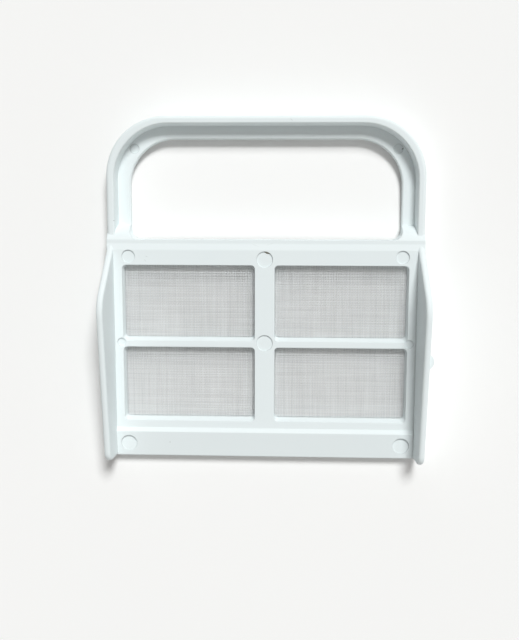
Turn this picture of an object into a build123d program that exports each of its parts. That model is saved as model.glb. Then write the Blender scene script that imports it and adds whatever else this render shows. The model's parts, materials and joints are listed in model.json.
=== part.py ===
from build123d import *
import math
import os

# Tumble dryer filter: one moulded plastic frame with a bow handle, and the woven mesh held in it.
# Sizes are millimetres. Everything is drawn with the mesh plate level: +X to the right, +Y from the
# bottom strip to the handle, +Z out of the front face. At the end it is laid down as it lies on a table.

# Levels above the underside of the handle
web_top_z = 2.6
rim_rise = 7.6
back_z = 6.6
plate_thickness = 5.7
mesh_depth = 3.3
mesh_core = 0.4

# Handle
handle_half = 74.4
handle_top_y = 161.1
bow_radius = 27.7
pocket_radius = 25.0
opening_radius = 21.5
bow_width = 10.15
wall_foot = 4.15
wall_draft = 5.5
rim_round = 1.5
rim_slope = 0.4
web_slope = 0.5
leg_start = 2.1

# Ramps between the handle legs and the plate
ramp_run = 6.6
ramp_radius = 12.0
ramp_back_run = 1.0
opening_foot_radius = 4.8

# Plate
plate_half = 72.0
top_bar = 7.35
band_width = 3.0
band_drop = 0.7
ledge_width = 1.7
strip_top_y = 12.0
strip_rise = 1.1
strip_edge_drop = 0.2
riser_foot_y = 14.0

# Windows, measured at the mesh
side_member = 5.4
centre_bar = 9.7
window_low_y = 18.85
window_height = 34.3
cross_bar = 4.7
window_corner = 1.9
side_draft = 0.65
foot_draft = 1.45
head_draft = 0.25
bar_draft = 0.25

# Side wings
wing_inset = 0.75
wing_wall = 3.0
wing_flare = 5.0
wing_peak_run = 23.5
wing_peak = 20.0
wing_peak_round = 16.0
wing_tip_y = -0.6
wing_tip = 11.8
wing_tip_round = 5.0
wing_root_run = 3.5
wing_root = -1.6
wing_rim_round = 1.3
nub_y = 50.2
nub_length = 7.2
nub_rise = 2.0
nub_sink = 0.4
nub_low = 12.6
nub_height = 2.8

# Round marks left by the mould
mark_depth = 0.6
mark_clear = 3.0
top_mark_inset = 7.8
top_mark_drop = 3.1
top_mark = 6.1
gate_mark_drop = 4.4
large_mark = 7.6
mid_mark_inset = 3.9
mid_mark = 4.0
low_mark_inset = 6.6
low_mark_y = 6.2
bow_mark_inset = 12.4
bow_mark_drop = 14.6
bow_mark = 4.4

# Mesh
mesh_hold = 1.6
weft_pitch = 2.4
weft_count = 14
warp_pitch = 3.3
warp_count = 18
thread_width = 1.0
thread_rise = 0.35
thread_clear = 0.5
gap_side = 0.7
gap_rows = 3
gap_columns = 5
gap_row_steps = 4
gap_column_steps = 4

# Sizes that follow from those above
front_z = back_z + plate_thickness
rim_z = web_top_z + rim_rise
mesh_top_z = front_z - mesh_depth
mesh_bottom_z = mesh_top_z - mesh_core
opening_half = handle_half - bow_width
opening_top_y = handle_top_y - bow_width
pocket_half = handle_half - wall_foot
pocket_top_y = handle_top_y - wall_foot
centre_bar_half = centre_bar / 2
window_outer_x = plate_half - side_member
wing_base_x = plate_half - wing_inset
window_width = window_outer_x - centre_bar_half
window_mid_x = (window_outer_x + centre_bar_half) / 2
low_mid_y = window_low_y + window_height / 2
high_mid_y = low_mid_y + window_height + cross_bar
window_top_y = high_mid_y + window_height / 2
band_foot_y = window_top_y + top_bar
band_top_y = band_foot_y + band_width
opening_foot_y = band_top_y + ledge_width
ramp_foot_y = opening_foot_y + ramp_run
ramp_back_y = band_foot_y + ramp_back_run
leg_rest_y = opening_foot_y + leg_start
wing_peak_y = band_foot_y - wing_peak_run
wing_root_y = band_foot_y + wing_root_run
cross_bar_y = window_low_y + window_height + cross_bar / 2
mouth_width = window_width + side_draft + bar_draft
mouth_height = window_height + foot_draft + head_draft
mouth_mid_x = window_mid_x + (side_draft - bar_draft) / 2
mouth_shift_y = (head_draft - foot_draft) / 2
top_mark_x = plate_half - top_mark_inset
top_mark_y = band_foot_y - top_mark_drop
gate_mark_y = band_foot_y - gate_mark_drop
mid_mark_x = plate_half - mid_mark_inset
low_mark_x = plate_half - low_mark_inset
bow_mark_x = handle_half - bow_mark_inset
bow_mark_y = handle_top_y - bow_mark_drop
mesh_half = window_outer_x + mesh_hold
mesh_length = 2 * window_height + cross_bar + 2 * mesh_hold
low_mark_rise = (strip_rise + strip_edge_drop) * low_mark_y / strip_top_y - strip_edge_drop
thread_section = [(-thread_width / 2, 0), (thread_width / 2, 0), (0, thread_rise)]
wing_foot = -plate_thickness / math.cos(math.radians(wing_flare))
lie_tilt = math.degrees(math.atan(back_z / leg_rest_y))
window_centres = [(side * window_mid_x, y) for side in (-1, 1) for y in (low_mid_y, high_mid_y)]

# Handle: a bow with a tray-like section, wall outside and web inside
with BuildPart() as handle:
    with BuildSketch() as bow:
        with Locations((0, (leg_rest_y + handle_top_y) / 2)):
            Rectangle(2 * handle_half, handle_top_y - leg_rest_y)
        fillet(bow.vertices().group_by(Axis.Y)[-1], radius=bow_radius)
    extrude(amount=rim_z)
    outer_rim = [
        edge
        for edge in handle.faces().sort_by(Axis.Z)[-1].edges()
        if edge.center().Y > leg_rest_y + rim_round
    ]
    fillet(outer_rim, radius=rim_round)
    with BuildSketch(Plane.XY.offset(web_top_z)) as pocket:
        with Locations((0, (opening_foot_y + pocket_top_y) / 2 - bow_width)):
            Rectangle(2 * pocket_half, pocket_top_y - opening_foot_y + 2 * bow_width)
        fillet(pocket.vertices().group_by(Axis.Y)[-1], radius=pocket_radius)
    extrude(amount=rim_rise, taper=-wall_draft, mode=Mode.SUBTRACT)
    inner_rim = [
        edge
        for edge in handle.edges(Select.LAST).group_by(Axis.Z)[-1]
        if edge.center().Y > leg_rest_y + rim_round
    ]
    chamfer(inner_rim, length=rim_slope)
    with BuildSketch() as bow_opening:
        with Locations((0, (ramp_back_y + opening_top_y) / 2)):
            Rectangle(2 * opening_half, opening_top_y - ramp_back_y)
        fillet(bow_opening.vertices().group_by(Axis.Y)[-1], radius=opening_radius)
    extrude(amount=web_top_z, mode=Mode.SUBTRACT)
    web_lip = [
        edge
        for edge in handle.edges(Select.LAST).group_by(Axis.Z)[-1]
        if edge.center().Y > leg_rest_y + rim_round
    ]
    chamfer(web_lip, length=web_slope)

# One side wing, leaning a little outwards, its mirror image, and the nub on the right wing alone
wing_lean = math.radians(wing_flare)
wing_plane = Plane(
    origin=(wing_base_x, 0, front_z),
    x_dir=(0, 1, 0),
    z_dir=(math.cos(wing_lean), 0, -math.sin(wing_lean)),
)
nub_plane = Plane(
    origin=wing_plane.from_local_coords((0, nub_low)),
    x_dir=(0, 1, 0),
    z_dir=wing_plane.y_dir,
)
with BuildPart() as wings:
    with BuildSketch(wing_plane) as wing_side:
        with BuildLine():
            Polyline(
                (wing_tip_y, wing_tip),
                (0, wing_foot),
                (wing_root_y, wing_foot),
                (wing_root_y, wing_root),
                (wing_peak_y, wing_peak),
                close=True,
            )
        make_face()
        fillet(wing_side.vertices().group_by(Axis.Y)[-1], radius=wing_peak_round)
        fillet(wing_side.vertices().group_by(Axis.X)[0], radius=wing_tip_round)
    extrude(amount=wing_wall)
    rim_faces = wings.faces().filter_by(lambda face: face.normal_at().Z > math.sin(2 * wing_lean))
    wing_rim = rim_faces.edges().filter_by(Axis(wing_plane.origin, wing_plane.z_dir), reverse=True)
    fillet(wing_rim, radius=wing_rim_round)
    split(bisect_by=Plane.XY.offset(back_z), keep=Keep.TOP)
    mirror(about=Plane.YZ)
    with BuildSketch(nub_plane) as nub_plan:
        with BuildLine():
            ThreePointArc(
                (nub_y - nub_length / 2, nub_sink - wing_wall),
                (nub_y, -nub_rise - wing_wall),
                (nub_y + nub_length / 2, nub_sink - wing_wall),
            )
            Line(
                (nub_y + nub_length / 2, nub_sink - wing_wall),
                (nub_y - nub_length / 2, nub_sink - wing_wall),
            )
        make_face()
    extrude(amount=nub_height)

# Plate, ramps, wings and handle joined in one moulding
with BuildPart() as moulding:
    with BuildSketch(Plane.YZ) as plate_section:
        with BuildLine():
            Polyline(
                (0, back_z),
                (0, front_z - strip_edge_drop),
                (strip_top_y, front_z + strip_rise),
                (riser_foot_y, front_z),
                (band_foot_y, front_z),
                (band_foot_y, back_z),
                close=True,
            )
        make_face()
    extrude(amount=plate_half, both=True)
    with BuildSketch(Plane.YZ) as ramp_section:
        with BuildLine():
            Polyline(
                (ramp_foot_y, web_top_z),
                (ramp_foot_y, 0),
                (leg_rest_y, 0),
                (ramp_back_y, back_z),
                (band_foot_y, back_z),
                (band_foot_y, front_z),
                (band_top_y, front_z - band_drop),
                (opening_foot_y, front_z - band_drop),
            )
            RadiusArc((opening_foot_y, front_z - band_drop), (ramp_foot_y, web_top_z), ramp_radius)
        make_face()
    extrude(amount=handle_half, both=True)
    with BuildSketch() as plate_opening:
        with Locations((0, (opening_foot_y + ramp_foot_y) / 2)):
            Rectangle(2 * opening_half, ramp_foot_y - opening_foot_y)
        fillet(plate_opening.vertices().group_by(Axis.Y)[0], radius=opening_foot_radius)
    extrude(amount=front_z, mode=Mode.SUBTRACT)
    add(handle.part)
    add(wings.part)
    for side in (-1, 1):
        for mid_y in (low_mid_y, high_mid_y):
            with BuildSketch(Plane.XY.offset(back_z)) as window_back:
                with Locations((side * window_mid_x, mid_y)):
                    RectangleRounded(window_width, window_height, window_corner)
            extrude(amount=mesh_top_z - back_z, mode=Mode.SUBTRACT)
            with BuildSketch(Plane.XY.offset(mesh_top_z)) as window_foot:
                with Locations((side * window_mid_x, mid_y)):
                    RectangleRounded(window_width, window_height, window_corner)
            with BuildSketch(Plane.XY.offset(front_z)) as window_mouth:
                with Locations((side * mouth_mid_x, mid_y + mouth_shift_y)):
                    RectangleRounded(mouth_width, mouth_height, window_corner)
            loft(ruled=True, mode=Mode.SUBTRACT)
    with BuildSketch(Plane.XY.offset(mesh_bottom_z)) as mesh_slot:
        with Locations((0, cross_bar_y)):
            Rectangle(2 * mesh_half, mesh_length)
    extrude(amount=mesh_core, mode=Mode.SUBTRACT)
    with BuildSketch(Plane.XY.offset(front_z - mark_depth)) as plate_marks:
        with Locations((-top_mark_x, top_mark_y), (top_mark_x, top_mark_y)):
            Circle(top_mark / 2)
        with Locations((0, gate_mark_y), (0, cross_bar_y)):
            Circle(large_mark / 2)
        with Locations((-mid_mark_x, cross_bar_y), (mid_mark_x, cross_bar_y)):
            Circle(mid_mark / 2)
    extrude(amount=mark_clear, mode=Mode.SUBTRACT)
    with BuildSketch(Plane.XY.offset(front_z + low_mark_rise - mark_depth)) as strip_marks:
        with Locations((-low_mark_x, low_mark_y), (low_mark_x, low_mark_y)):
            Circle(large_mark / 2)
    extrude(amount=mark_clear, mode=Mode.SUBTRACT)
    with BuildSketch(Plane.XY.offset(web_top_z - mark_depth)) as bow_marks:
        with Locations((-bow_mark_x, bow_mark_y), (bow_mark_x, bow_mark_y)):
            Circle(bow_mark / 2)
    extrude(amount=mark_clear, mode=Mode.SUBTRACT)

# Mesh: one sheet held all round, with weft ridges in front, warp ridges behind and open gaps
with BuildPart() as cloth:
    with BuildSketch(Plane.XY.offset(mesh_bottom_z)) as sheet:
        with Locations((0, cross_bar_y)):
            Rectangle(2 * mesh_half, mesh_length)
    extrude(amount=mesh_core)
    for mid_x, mid_y in window_centres:
        weft_start = (mid_x - window_width / 2 + thread_clear, mid_y, mesh_top_z)
        with BuildSketch(Plane(origin=weft_start, x_dir=(0, 1, 0), z_dir=(1, 0, 0))) as weft:
            with GridLocations(weft_pitch, 0, weft_count, 1):
                Polygon(*thread_section, align=None)
        extrude(amount=window_width - 2 * thread_clear)
        warp_start = (mid_x, mid_y - window_height / 2 + thread_clear, mesh_bottom_z)
        with BuildSketch(Plane(origin=warp_start, x_dir=(1, 0, 0), z_dir=(0, 1, 0))) as warp:
            with GridLocations(warp_pitch, 0, warp_count, 1):
                Polygon(*thread_section, align=None)
        extrude(amount=window_height - 2 * thread_clear)
    with BuildSketch(Plane.XY.offset(mesh_bottom_z)) as gaps:
        with Locations(*window_centres):
            with GridLocations(
                gap_column_steps * warp_pitch, gap_row_steps * weft_pitch, gap_columns, gap_rows
            ):
                Rectangle(gap_side, gap_side)
    extrude(amount=mesh_core, mode=Mode.SUBTRACT)

# Laid down: the legs and the bottom edge touch the table, and the box is centred on the origin
tilted_box = moulding.part.rotate(Axis.X, lie_tilt).bounding_box()
lie_place = (-tilted_box.center().X, -tilted_box.center().Y, -tilted_box.min.Z)
with BuildPart() as filter_frame:
    with Locations(lie_place):
        add(moulding.part, rotation=(lie_tilt, 0, 0))
with BuildPart() as filter_mesh:
    with Locations(lie_place):
        add(cloth.part, rotation=(lie_tilt, 0, 0), clean=False)

os.makedirs("parts", exist_ok=True)
filter_frame.part.label = "filter_frame"
export_step(filter_frame.part, "parts/filter_frame.step")
filter_mesh.part.label = "filter_mesh"
export_step(filter_mesh.part, "parts/filter_mesh.step")
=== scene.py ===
import json
import math

import bmesh
import bpy
import numpy as np
from mathutils import Matrix, Quaternion, Vector


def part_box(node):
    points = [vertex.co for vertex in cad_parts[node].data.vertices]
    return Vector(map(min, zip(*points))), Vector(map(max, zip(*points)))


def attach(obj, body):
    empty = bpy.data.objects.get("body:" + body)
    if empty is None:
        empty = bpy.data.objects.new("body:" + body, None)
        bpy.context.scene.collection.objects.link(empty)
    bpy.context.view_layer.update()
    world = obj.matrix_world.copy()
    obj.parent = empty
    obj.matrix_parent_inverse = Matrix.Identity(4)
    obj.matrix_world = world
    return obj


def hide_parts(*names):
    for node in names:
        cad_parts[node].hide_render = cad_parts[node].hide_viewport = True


# A tumble dryer filter lying on a pale table: the moulded frame as it comes from the CAD model, and
# its four panels of woven mesh laid thread by thread. Metres, in the CAD model's own frame.

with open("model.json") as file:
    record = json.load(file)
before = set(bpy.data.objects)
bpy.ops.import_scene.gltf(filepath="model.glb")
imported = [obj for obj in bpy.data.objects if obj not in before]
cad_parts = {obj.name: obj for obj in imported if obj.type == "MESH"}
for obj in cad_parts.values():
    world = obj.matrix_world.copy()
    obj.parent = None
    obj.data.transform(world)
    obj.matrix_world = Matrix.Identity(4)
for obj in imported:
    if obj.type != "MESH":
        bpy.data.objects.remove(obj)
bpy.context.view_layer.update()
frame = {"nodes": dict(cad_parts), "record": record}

# Sizes shared with the CAD model, in the plane of the mesh
WINDOW_OUTER_X = 0.0666
CENTRE_BAR = 0.0097
WINDOW_HEIGHT = 0.0343
CROSS_BAR = 0.0047

# Woven mesh
THREAD_PITCH = 0.00062
THREAD_WIDTH = 0.00024
THREAD_THICKNESS = 0.00018
THREAD_WAVE = 0.00008
THREAD_TUCK = 0.0009
PAIR_PULL = 0.16
WIDTH_SPREAD = 0.08
PLACE_SPREAD = 0.06
WEAVE_SEED = 41
THREAD_SIDES = 4

# Small blemishes of the plastic, placed across and along the filter, with their sizes
LEG_SPECK = (-0.0720, 0.0326)
STRIP_SPECK = (-0.0464, -0.0736)
SPECK_SIZE = (0.00035, 0.00035)
BOW_DOT = (0.0631, 0.0665)
BOW_DOT_SIZE = (0.00060, 0.00045)
PLATE_SCRATCH = (-0.0564, 0.0159)
STEEP_SCRATCH = (-0.0571, 0.0140)
SCRATCH_SIZE = (0.00085, 0.00018)
RIM_SCUFF = (0.0112, 0.0787)
SCUFF_SIZE = (0.00110, 0.00030)
LEFT_FLOW_LINE = (-0.0052, 0.0213)
RIGHT_FLOW_LINE = (0.0016, 0.0219)
FLOW_LINE_SIZE = (0.00260, 0.00030)

# Round mould marks, measured from the middle of the mesh: across, up and the radius
GATE_MARK = (0.0, 0.0396, 0.0038)
CENTRE_MARK = (0.0, 0.0, 0.0038)
TOP_MARK = (0.0642, 0.0409, 0.00305)
MIDDLE_MARK = (0.0681, 0.0, 0.0020)
LOW_MARK = (0.0654, -0.0493, 0.0038)
BOW_MARK = (0.0620, 0.0910, 0.0022)
FRONT_LIFT = 0.0035
BOW_LIFT = -0.0062
RING_WIDTH = 0.00022
FRONT_RING_DEPTH = 0.10
BOW_RING_DEPTH = 0.25

# Scar of the gate on the rim of its mark
SCAR_START = math.radians(-6)
SCAR_END = math.radians(44)
SCAR_STEPS = 15
SCAR_WIDTH = 0.0009
SCAR_SINK = 0.0005
SCAR_JOIN = 0.000001
SCAR_SIDES = 3

# Finishes: the lighter and the deeper tone that each surface drifts between, its grain per metre, and gloss
PLASTIC_TONES = ((0.850, 0.912, 0.918), (0.830, 0.898, 0.910))
PLASTIC_DRIFT = 38.0
PLASTIC_IOR = 1.49
PLASTIC_SPECULAR = 0.2
SKIN_GRAIN = 2600.0
SHEEN_GRAIN = 120.0
EDGE_RADIUS = 0.00045
DIRT_TONE = (0.10, 0.10, 0.08, 1)
THREAD_TONES = ((0.93, 0.945, 0.95), (0.88, 0.90, 0.905))
THREAD_DRIFT = 90.0
THREAD_ROUGHNESS = 0.55
STREAKS_ACROSS = 900.0
STREAKS_ALONG = 30.0
# The scar's two dark olive tones are painted shade: they stand for the shadow inside the gate's notch, not
# the plastic's own colour
SCAR_SHADE_TONES = ((0.34, 0.33, 0.27), (0.18, 0.175, 0.13))
SCAR_SHADE_DRIFT = 900.0
TORN_ROUGHNESS = 0.8
TABLE_TONES = ((0.985, 0.985, 0.976), (0.973, 0.973, 0.966))
TABLE_DRIFT = 6.0
TABLE_ROUGHNESS = 0.9
BACKDROP_TONE = (0.955, 0.955, 0.950, 1)

# Light: where the key comes from as seen on the table, and how the level is shared
KEY_TURN = math.radians(20)
KEY_ELEVATION = math.radians(52)
KEY_SIZE = math.radians(19)
KEY_SHARE = 0.64
FILL_SHARE = 0.215
FILL_LEAN = Vector((0.5, -0.7, 0.6))
KEY_TINT = (0.985, 1.0, 1.0)
FILL_TINT = (1.0, 0.975, 0.955, 1)

# Camera, found from the photographed outline: place in metres and turn about an axis in degrees
PHOTO_HEIGHT = 640
FOCAL_PIXELS = 850.0
SENSOR_HEIGHT = 24.0
CAMERA_PLACE = Vector((0.01325, 0.01981, 0.40919))
CAMERA_TURN = Vector((-4.800, 2.373, 0.347))

FLOOR_SIZE = 6.0

# The plane of the mesh: the plate's own axis comes from the mount on its back
back_axis = Vector(next(m for m in frame["record"]["mounts"] if m["name"] == "back_face")["axis"])
mesh_normal = -back_axis.normalized()
mesh_across = Vector((1, 0, 0))
mesh_up = mesh_normal.cross(mesh_across)
mesh_low, mesh_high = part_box("filter_mesh")
mesh_centre = (Vector(mesh_low) + Vector(mesh_high)) / 2


def put(tree, kind, **settings):
    """Adds a node, sets its own settings and the values of its named sockets."""
    node = tree.nodes.new(kind)
    for name, value in settings.items():
        if hasattr(node, name):
            setattr(node, name, value)
        else:
            node.inputs[name.replace("_", " ")].default_value = value
    return node


def in_frame(points):
    """Points given across, up and out of the mesh, in the CAD model's own frame."""
    axes = np.array([mesh_across, mesh_up, mesh_normal])
    return (points @ axes + np.array(mesh_centre)).tolist()


def tube_walls(first, rings, sides):
    """Faces between one ring of corners and the next, from the first corner on."""
    ring = first + sides * np.arange(rings - 1)[:, None]
    corner = np.arange(sides)
    after = (corner + 1) % sides
    walls = np.stack([ring + corner, ring + sides + corner, ring + sides + after, ring + after], -1)
    return walls.reshape(-1, 4)


def new_piece(name, points, faces):
    """A mesh object made of these points and faces, in the scene."""
    mesh = bpy.data.meshes.new(name)
    mesh.from_pydata(points, [], faces)
    piece = bpy.data.objects.new(name, mesh)
    bpy.context.scene.collection.objects.link(piece)
    return piece


def new_material(name):
    """An empty material with its Principled shader and its output."""
    material = bpy.data.materials.new(name)
    material.use_nodes = True
    material.node_tree.nodes.clear()
    shader = material.node_tree.nodes.new("ShaderNodeBsdfPrincipled")
    output = material.node_tree.nodes.new("ShaderNodeOutputMaterial")
    material.node_tree.links.new(shader.outputs["BSDF"], output.inputs["Surface"])
    return material, material.node_tree, shader


def tone_drift_group():
    """Slow cloudy drift between two tones, used by every surface."""
    tree = bpy.data.node_groups.new("tone_drift", "ShaderNodeTree")
    sockets = {
        "Light Tone": "NodeSocketColor",
        "Deep Tone": "NodeSocketColor",
        "Scale": "NodeSocketFloat",
    }
    for name, kind in sockets.items():
        tree.interface.new_socket(name, in_out="INPUT", socket_type=kind)
    tree.interface.new_socket("Color", in_out="OUTPUT", socket_type="NodeSocketColor")
    inside = tree.nodes.new("NodeGroupInput")
    outside = tree.nodes.new("NodeGroupOutput")
    place = tree.nodes.new("ShaderNodeTexCoord")
    cloud = put(tree, "ShaderNodeTexNoise", Detail=4.0, Roughness=0.55)
    blend = put(tree, "ShaderNodeMix", data_type="RGBA")
    link = tree.links.new
    link(place.outputs["Object"], cloud.inputs["Vector"])
    link(inside.outputs["Scale"], cloud.inputs["Scale"])
    link(cloud.outputs["Fac"], blend.inputs["Factor"])
    link(inside.outputs["Deep Tone"], blend.inputs["A"])
    link(inside.outputs["Light Tone"], blend.inputs["B"])
    link(blend.outputs["Result"], outside.inputs["Color"])
    return tree


tone_drift = tone_drift_group()


def drift(tree, light, deep, scale):
    """Places the tone drift group with its own tones."""
    node = tree.nodes.new("ShaderNodeGroup")
    node.node_tree = tone_drift
    node.inputs["Light Tone"].default_value = (*light, 1)
    node.inputs["Deep Tone"].default_value = (*deep, 1)
    node.inputs["Scale"].default_value = scale
    return node


def blemish(tree, place, spot, size, turn, depth):
    """One soft-edged spot or streak of dirt, as deep as its tone is dark."""
    across = put(
        tree,
        "ShaderNodeMapping",
        vector_type="TEXTURE",
        Location=(*spot, 0),
        Rotation=(0, 0, math.radians(turn)),
        Scale=(*size, 1),
    )
    away = put(tree, "ShaderNodeVectorMath", operation="LENGTH")
    tone = put(tree, "ShaderNodeMapRange", From_Min=1.0, From_Max=0.35, To_Min=0.0, To_Max=depth)
    tree.links.new(place, across.inputs["Vector"])
    tree.links.new(across.outputs["Vector"], away.inputs[0])
    tree.links.new(away.outputs["Value"], tone.inputs["Value"])
    return tone.outputs["Result"]


def pin_ring(tree, place, mark, side, lift, depth):
    """A fine dark line in the surface colour, round the rim of one round mould mark."""
    across, up, radius = mark
    spot = mesh_centre + side * across * mesh_across + up * mesh_up + lift * mesh_normal
    centred = put(
        tree,
        "ShaderNodeMapping",
        vector_type="TEXTURE",
        Location=(spot.x, spot.y, 0),
        Scale=(radius, radius, 1),
    )
    away = put(tree, "ShaderNodeVectorMath", operation="LENGTH")
    line = put(tree, "ShaderNodeMath", operation="COMPARE")
    line.inputs[1].default_value = 1.0
    line.inputs[2].default_value = RING_WIDTH / 2 / radius
    tone = put(tree, "ShaderNodeMath", operation="MULTIPLY")
    tone.inputs[1].default_value = depth
    tree.links.new(place, centred.inputs["Vector"])
    tree.links.new(centred.outputs["Vector"], away.inputs[0])
    tree.links.new(away.outputs["Value"], line.inputs[0])
    tree.links.new(line.outputs["Value"], tone.inputs[0])
    return tone.outputs["Value"]


def pin_rings(tree, place):
    """The rings of all the round mould marks."""
    rings = []
    for mark in (GATE_MARK, CENTRE_MARK):
        rings.append(pin_ring(tree, place, mark, 1, FRONT_LIFT, FRONT_RING_DEPTH))
    for side in (-1, 1):
        for mark in (TOP_MARK, MIDDLE_MARK, LOW_MARK):
            rings.append(pin_ring(tree, place, mark, side, FRONT_LIFT, FRONT_RING_DEPTH))
        rings.append(pin_ring(tree, place, BOW_MARK, side, BOW_LIFT, BOW_RING_DEPTH))
    return rings


def blemishes(tree, place):
    """All the small blemishes that the photograph shows, as one mask."""
    marks = [
        blemish(tree, place, LEG_SPECK, SPECK_SIZE, turn=0, depth=0.35),
        blemish(tree, place, STRIP_SPECK, SPECK_SIZE, turn=0, depth=0.35),
        blemish(tree, place, BOW_DOT, BOW_DOT_SIZE, turn=35, depth=0.70),
        blemish(tree, place, PLATE_SCRATCH, SCRATCH_SIZE, turn=-18, depth=0.22),
        blemish(tree, place, STEEP_SCRATCH, SCRATCH_SIZE, turn=-57, depth=0.20),
        blemish(tree, place, RIM_SCUFF, SCUFF_SIZE, turn=-44, depth=0.14),
        blemish(tree, place, LEFT_FLOW_LINE, FLOW_LINE_SIZE, turn=-22, depth=0.05),
        blemish(tree, place, RIGHT_FLOW_LINE, FLOW_LINE_SIZE, turn=14, depth=0.05),
        *pin_rings(tree, place),
    ]
    mask = marks[0]
    for mark in marks[1:]:
        deeper = put(tree, "ShaderNodeMath", operation="MAXIMUM")
        tree.links.new(mask, deeper.inputs[0])
        tree.links.new(mark, deeper.inputs[1])
        mask = deeper.outputs["Value"]
    return mask


def white_plastic():
    """Cool white moulded plastic with a matt satin skin, softened edges and a few blemishes."""
    material, tree, shader = new_material("white_plastic")
    link = tree.links.new
    shader.inputs["IOR"].default_value = PLASTIC_IOR
    shader.inputs["Specular IOR Level"].default_value = PLASTIC_SPECULAR
    tone = drift(tree, *PLASTIC_TONES, PLASTIC_DRIFT)
    place = tree.nodes.new("ShaderNodeTexCoord")
    skin = put(tree, "ShaderNodeTexNoise", Scale=SKIN_GRAIN, Detail=3.0)
    sheen = put(tree, "ShaderNodeTexNoise", Scale=SHEEN_GRAIN, Detail=5.0)
    polish = put(tree, "ShaderNodeMapRange", To_Min=0.58, To_Max=0.72)
    edges = put(tree, "ShaderNodeBevel", samples=6, Radius=EDGE_RADIUS)
    bump = put(tree, "ShaderNodeBump", Strength=0.05, Distance=0.0001)
    link(place.outputs["Object"], skin.inputs["Vector"])
    link(place.outputs["Object"], sheen.inputs["Vector"])
    stain = put(tree, "ShaderNodeMix", data_type="RGBA", B=DIRT_TONE)
    link(blemishes(tree, place.outputs["Object"]), stain.inputs["Factor"])
    link(tone.outputs["Color"], stain.inputs["A"])
    link(stain.outputs["Result"], shader.inputs["Base Color"])
    link(sheen.outputs["Fac"], polish.inputs["Value"])
    link(polish.outputs["Result"], shader.inputs["Roughness"])
    link(skin.outputs["Fac"], bump.inputs["Height"])
    link(edges.outputs["Normal"], bump.inputs["Normal"])
    link(bump.outputs["Normal"], shader.inputs["Normal"])
    return material


def thread_streaks(tree, grain_across, grain_up):
    """Brightness that changes from thread to thread and hardly along one: noise with a grain each way."""
    place = tree.nodes.new("ShaderNodeTexCoord")
    stretch = put(tree, "ShaderNodeMapping", Scale=(grain_across, grain_up, grain_up))
    noise = put(tree, "ShaderNodeTexNoise", Scale=1.0, Detail=2.0)
    tree.links.new(place.outputs["Object"], stretch.inputs["Vector"])
    tree.links.new(stretch.outputs["Vector"], noise.inputs["Vector"])
    return noise.outputs["Fac"]


def woven_threads():
    """Grey-white synthetic thread, a little different from one thread to the next."""
    material, tree, shader = new_material("woven_mesh")
    link = tree.links.new
    shader.inputs["Roughness"].default_value = THREAD_ROUGHNESS
    warp = thread_streaks(tree, STREAKS_ACROSS, STREAKS_ALONG)
    weft = thread_streaks(tree, STREAKS_ALONG, STREAKS_ACROSS)
    tone = drift(tree, *THREAD_TONES, THREAD_DRIFT)
    both = put(tree, "ShaderNodeMath", operation="ADD")
    share = put(tree, "ShaderNodeMapRange", From_Min=0.6, From_Max=1.4, To_Min=0.80, To_Max=1.06)
    shade = put(tree, "ShaderNodeMix", data_type="RGBA", blend_type="MULTIPLY", Factor=1.0)
    link(warp, both.inputs[0])
    link(weft, both.inputs[1])
    link(both.outputs["Value"], share.inputs["Value"])
    link(tone.outputs["Color"], shade.inputs["A"])
    link(share.outputs["Result"], shade.inputs["B"])
    link(shade.outputs["Result"], shader.inputs["Base Color"])
    return material


def pale_table():
    """Pale matt table top."""
    material, tree, shader = new_material("pale_table")
    shader.inputs["Roughness"].default_value = TABLE_ROUGHNESS
    shader.inputs["Specular IOR Level"].default_value = 0.0
    tone = drift(tree, *TABLE_TONES, TABLE_DRIFT)
    tree.links.new(tone.outputs["Color"], shader.inputs["Base Color"])
    return material


def thread_rings(across, up, lift, width, runs_up):
    """Four corners round each point of one thread: both sides, top and bottom."""
    side = width / 2
    rise = np.full_like(across, THREAD_THICKNESS / 2)
    flat = np.zeros_like(across)
    if runs_up:
        corners = [(side, flat, flat), (flat, flat, rise), (-side, flat, flat), (flat, flat, -rise)]
    else:
        corners = [(flat, -side, flat), (flat, flat, rise), (flat, side, flat), (flat, flat, -rise)]
    return np.stack([np.stack([across + a, up + u, lift + n], -1) for a, u, n in corners], 1)


def weave_panel(name, centre_across, centre_up, width, height, seed):
    """One window's mesh: plain weave, each thread passing over and under the ones it crosses."""
    chance = np.random.default_rng(seed)
    half_width = width / 2 + THREAD_TUCK
    half_height = height / 2 + THREAD_TUCK

    def places(half):
        count = round(2 * half / THREAD_PITCH)
        even = (np.arange(count) - (count - 1) / 2) * 2 * half / count
        paired = PAIR_PULL * THREAD_PITCH * (-1.0) ** np.arange(count)
        return even + paired + chance.normal(0, PLACE_SPREAD * THREAD_PITCH, count)

    warp_places = places(half_width)
    weft_places = places(half_height)
    points = []
    faces = []
    for runs_up, own, crossed, half in (
        (True, warp_places, weft_places, half_height),
        (False, weft_places, warp_places, half_width),
    ):
        along = np.concatenate([[-half], crossed, [half]])
        for index, place in enumerate(own):
            over = np.where((np.arange(len(crossed)) + index + runs_up) % 2, 1.0, -1.0)
            lift = THREAD_WAVE * np.concatenate([[0.0], over, [0.0]])
            thread_width = THREAD_WIDTH * (1 + chance.normal(0, WIDTH_SPREAD)) * np.ones_like(along)
            still = np.full_like(along, place)
            across, up = (still, along) if runs_up else (along, still)
            rings = thread_rings(across, up, lift, thread_width, runs_up)
            first = sum(len(p) for p in points)
            points.append(rings.reshape(-1, 3))
            last = first + THREAD_SIDES * (len(along) - 1)
            corner = np.arange(THREAD_SIDES)
            ends = np.array([first + corner, last + corner[::-1]])
            faces.append(np.concatenate([tube_walls(first, len(along), THREAD_SIDES), ends]))
    local = np.concatenate(points) + np.array([centre_across, centre_up, 0.0])
    panel = new_piece(name, in_frame(local), np.concatenate(faces).tolist())
    panel.data.shade_smooth()
    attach(panel, "root")
    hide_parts("filter_mesh")
    return panel


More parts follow.
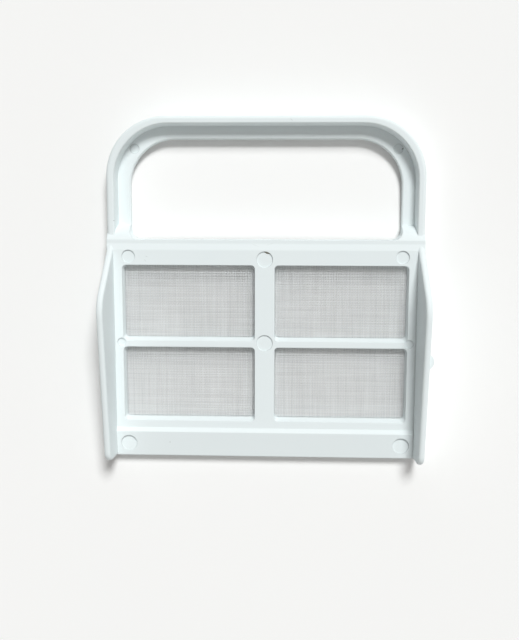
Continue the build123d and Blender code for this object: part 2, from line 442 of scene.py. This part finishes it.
def weave_panels(material):
    """The four windows, left and right, lower and upper."""
    width = WINDOW_OUTER_X - CENTRE_BAR / 2
    centre_across = (WINDOW_OUTER_X + CENTRE_BAR / 2) / 2
    centre_up = (WINDOW_HEIGHT + CROSS_BAR) / 2
    seed = WEAVE_SEED
    for row, up in (("lower", -centre_up), ("upper", centre_up)):
        for side, across in (("left", -centre_across), ("right", centre_across)):
            panel = weave_panel(f"mesh_{row}_{side}", across, up, width, WINDOW_HEIGHT, seed)
            panel.data.materials.append(material)
            seed += 1


def gate_scar_shade():
    """The torn edge that the mould's gate left on its mark: a thin crescent down into the mark, coloured
    dark as painted shade of the notch.
    """
    gate_across, gate_up, gate_radius = GATE_MARK
    turn = np.linspace(SCAR_START, SCAR_END, SCAR_STEPS)
    swell = np.sin(np.linspace(0, np.pi, SCAR_STEPS))
    rim = np.full_like(turn, gate_radius)
    sunk = FRONT_LIFT - SCAR_SINK

    def arc(reach, lift):
        across = gate_across + reach * np.sin(turn)
        up = gate_up + reach * np.cos(turn)
        return np.stack([across, up, np.full_like(turn, lift)], -1)

    rings = np.stack([arc(rim, FRONT_LIFT), arc(rim - SCAR_WIDTH * swell, sunk), arc(rim, sunk)], 1)
    walls = tube_walls(0, SCAR_STEPS, SCAR_SIDES)
    scar = new_piece("gate_scar_shade", in_frame(rings.reshape(-1, 3)), walls.tolist())
    closed = bmesh.new()
    closed.from_mesh(scar.data)
    bmesh.ops.remove_doubles(closed, verts=closed.verts, dist=SCAR_JOIN)
    bmesh.ops.recalc_face_normals(closed, faces=closed.faces)
    closed.to_mesh(scar.data)
    closed.free()
    # Painted shade: the crescent gets dark tones that stand for the shadow in the notch
    material, tree, shader = new_material("scar_painted_shade")
    shader.inputs["Roughness"].default_value = TORN_ROUGHNESS
    tone = drift(tree, *SCAR_SHADE_TONES, SCAR_SHADE_DRIFT)
    tree.links.new(tone.outputs["Color"], shader.inputs["Base Color"])
    scar.data.materials.append(material)
    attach(scar, "root")


def lay_table():
    """The table that the filter lies on."""
    half = FLOOR_SIZE / 2
    corners = [(-half, -half, 0), (half, -half, 0), (half, half, 0), (-half, half, 0)]
    table = new_piece("table_top", corners, [(0, 1, 2, 3)])
    table.data.materials.append(pale_table())


def light_studio():
    """One broad key from behind on the right, and a soft fill that leans to the front, right and top."""
    toward = Vector(
        (
            math.sin(KEY_TURN) * math.cos(KEY_ELEVATION),
            math.cos(KEY_TURN) * math.cos(KEY_ELEVATION),
            math.sin(KEY_ELEVATION),
        )
    )
    lamp = bpy.data.lights.new("key", "SUN")
    lamp.energy = KEY_SHARE * math.pi / math.sin(KEY_ELEVATION)
    lamp.angle = KEY_SIZE
    lamp.color = KEY_TINT
    key = bpy.data.objects.new("key", lamp)
    key.rotation_mode = "QUATERNION"
    key.rotation_quaternion = (-toward).to_track_quat("-Z", "Y")
    bpy.context.scene.collection.objects.link(key)
    world = bpy.data.worlds.new("studio")
    world.use_nodes = True
    tree = world.node_tree
    tree.nodes.clear()
    seen = put(tree, "ShaderNodeBackground", Color=BACKDROP_TONE, Strength=1.0)
    fill = put(tree, "ShaderNodeBackground", Color=FILL_TINT)
    direction = tree.nodes.new("ShaderNodeTexCoord")
    lean = put(tree, "ShaderNodeVectorMath", operation="DOT_PRODUCT")
    lean.inputs[1].default_value = FILL_LEAN
    strength = put(tree, "ShaderNodeMath", operation="MULTIPLY_ADD")
    strength.inputs[1].default_value = FILL_SHARE
    strength.inputs[2].default_value = FILL_SHARE
    path = tree.nodes.new("ShaderNodeLightPath")
    choose = tree.nodes.new("ShaderNodeMixShader")
    output = tree.nodes.new("ShaderNodeOutputWorld")
    tree.links.new(direction.outputs["Generated"], lean.inputs[0])
    tree.links.new(lean.outputs["Value"], strength.inputs[0])
    tree.links.new(strength.outputs["Value"], fill.inputs["Strength"])
    tree.links.new(path.outputs["Is Camera Ray"], choose.inputs[0])
    tree.links.new(fill.outputs["Background"], choose.inputs[1])
    tree.links.new(seen.outputs["Background"], choose.inputs[2])
    tree.links.new(choose.outputs["Shader"], output.inputs["Surface"])
    bpy.context.scene.world = world


def place_camera():
    """The camera that took the photograph, looking down on the filter."""
    data = bpy.data.cameras.new("camera")
    data.sensor_fit = "VERTICAL"
    data.sensor_height = SENSOR_HEIGHT
    data.lens = FOCAL_PIXELS / PHOTO_HEIGHT * SENSOR_HEIGHT
    camera = bpy.data.objects.new("camera", data)
    turn = Quaternion(CAMERA_TURN.normalized(), math.radians(CAMERA_TURN.length))
    camera.matrix_world = Matrix.Translation(CAMERA_PLACE) @ turn.to_matrix().to_4x4()
    bpy.context.scene.collection.objects.link(camera)
    bpy.context.scene.camera = camera


place_camera()
light_studio()
lay_table()
filter_frame = frame["nodes"]["filter_frame"]
filter_frame.data.materials.clear()
filter_frame.data.materials.append(white_plastic())
weave_panels(woven_threads())
gate_scar_shade()

bpy.context.scene.view_settings.view_transform = "Standard"
